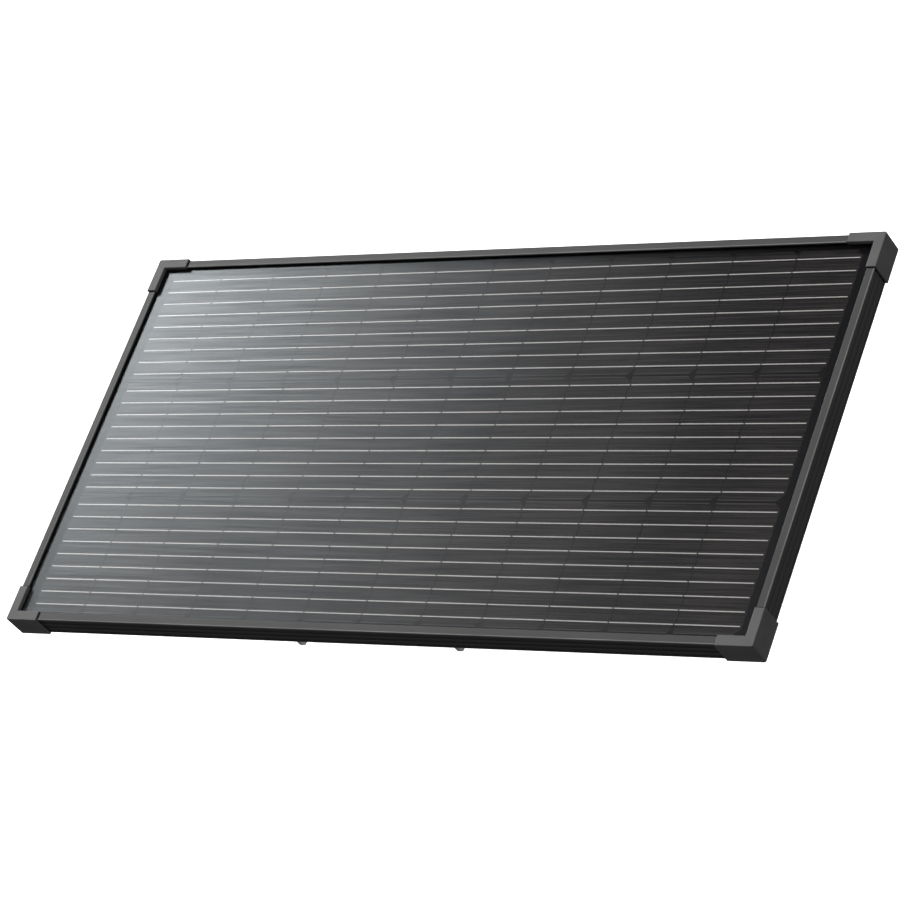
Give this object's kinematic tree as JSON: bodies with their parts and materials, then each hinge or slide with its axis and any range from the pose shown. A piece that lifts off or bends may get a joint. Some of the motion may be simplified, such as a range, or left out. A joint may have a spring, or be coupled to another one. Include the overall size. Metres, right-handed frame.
{
  "type": "rigid framed solar panel",
  "caption": "Flat rectangular photovoltaic panel with a ribbed black metal frame, moulded corner caps, a glass face over dark cells with bright wires, and a folding rear stand.",
  "frame": {"origin": "centre of the footprint, on the surface that the panel lies on with its stand folded", "axes": "+Z out of the glass, +X along the long rails, +Y towards the rail that carries the stand's hinge brackets"},
  "size_m": [1.06, 0.537, 0.0602],
  "materials": {
    "frame": "black anodised, satin",
    "cap_plastic": "fine textured black moulding",
    "key_aluminium": "mill finish",
    "black_screws": "black oxide",
    "glass": "tempered low iron, smooth",
    "encapsulant": "clear film",
    "cells": "black monocrystalline silicon under glass",
    "wires": "tinned flat wire",
    "tinned_ribbon": "tinned copper",
    "mask": "black film",
    "backsheet": "black film",
    "sealant": "cured silicone",
    "label": "blank satin film",
    "box_plastic": "glass filled black moulding",
    "seal_rubber": "silicone rubber",
    "steel_fasteners": "stainless",
    "brass": "tinned brass",
    "diode": "moulded epoxy",
    "stand_aluminium": "natural anodised",
    "nylon": "black nylon",
    "bracket_steel": "black powder coat"
  },
  "bodies": {
    "panel": {"backsheet": "backsheet", "bracket_nuts": "steel_fasteners", "bracket_screws": "steel_fasteners", "bus_mask_strips": "mask", "bus_ribbons": "tinned_ribbon", "bypass_diodes": "diode", "cable_gland_negative": "box_plastic", "cable_gland_positive": "box_plastic", "cells_string_1": "cells", "cells_string_2": "cells", "cells_string_3": "cells", "clip_nuts": "steel_fasteners", "clip_screws": "steel_fasteners", "corner_cap_bottom_left": "cap_plastic", "corner_cap_bottom_right": "cap_plastic", "corner_cap_screws": "black_screws", "corner_cap_top_left": "cap_plastic", "corner_cap_top_right": "cap_plastic", "corner_key_bottom_left": "key_aluminium", "corner_key_bottom_right": "key_aluminium", "corner_key_top_left": "key_aluminium", "corner_key_top_right": "key_aluminium", "edge_sealant": "sealant", "frame_rail_bottom": "frame", "frame_rail_left": "frame", "frame_rail_right": "frame", "frame_rail_top": "frame", "front_encapsulant": "encapsulant", "gland_nut_negative": "box_plastic", "gland_nut_positive": "box_plastic", "gland_seal_negative": "seal_rubber", "gland_seal_positive": "seal_rubber", "glass_cover": "glass", "junction_box_base": "box_plastic", "junction_box_gasket": "seal_rubber", "junction_box_lid": "box_plastic", "junction_box_lid_screws": "steel_fasteners", "junction_box_pad": "sealant", "lead_ribbons": "tinned_ribbon", "leg_clip_left": "cap_plastic", "leg_clip_right": "cap_plastic", "pivot_bolt_left": "steel_fasteners", "pivot_bolt_right": "steel_fasteners", "pivot_nut_left": "steel_fasteners", "pivot_nut_right": "steel_fasteners", "rating_label": "label", "rear_encapsulant": "encapsulant", "stand_bracket_left": "bracket_steel", "stand_bracket_right": "bracket_steel", "terminals": "brass", "wires_string_1": "wires", "wires_string_2": "wires", "wires_string_3": "wires"},
    "stand": {"stand_leg_left": "stand_aluminium", "stand_leg_right": "stand_aluminium", "pivot_bush_left": "nylon", "pivot_bush_right": "nylon", "stand_cross_tube": "stand_aluminium", "cross_tube_plugs": "nylon", "cross_tube_screws": "steel_fasteners"}
  },
  "joints": [
    {"name": "stand_hinge", "type": "hinge", "parent": "panel", "child": "stand", "pos_m": [0, 0.2395, 0.0125], "axis": [1, 0, 0], "range_deg": [0, 60]}
  ]
}
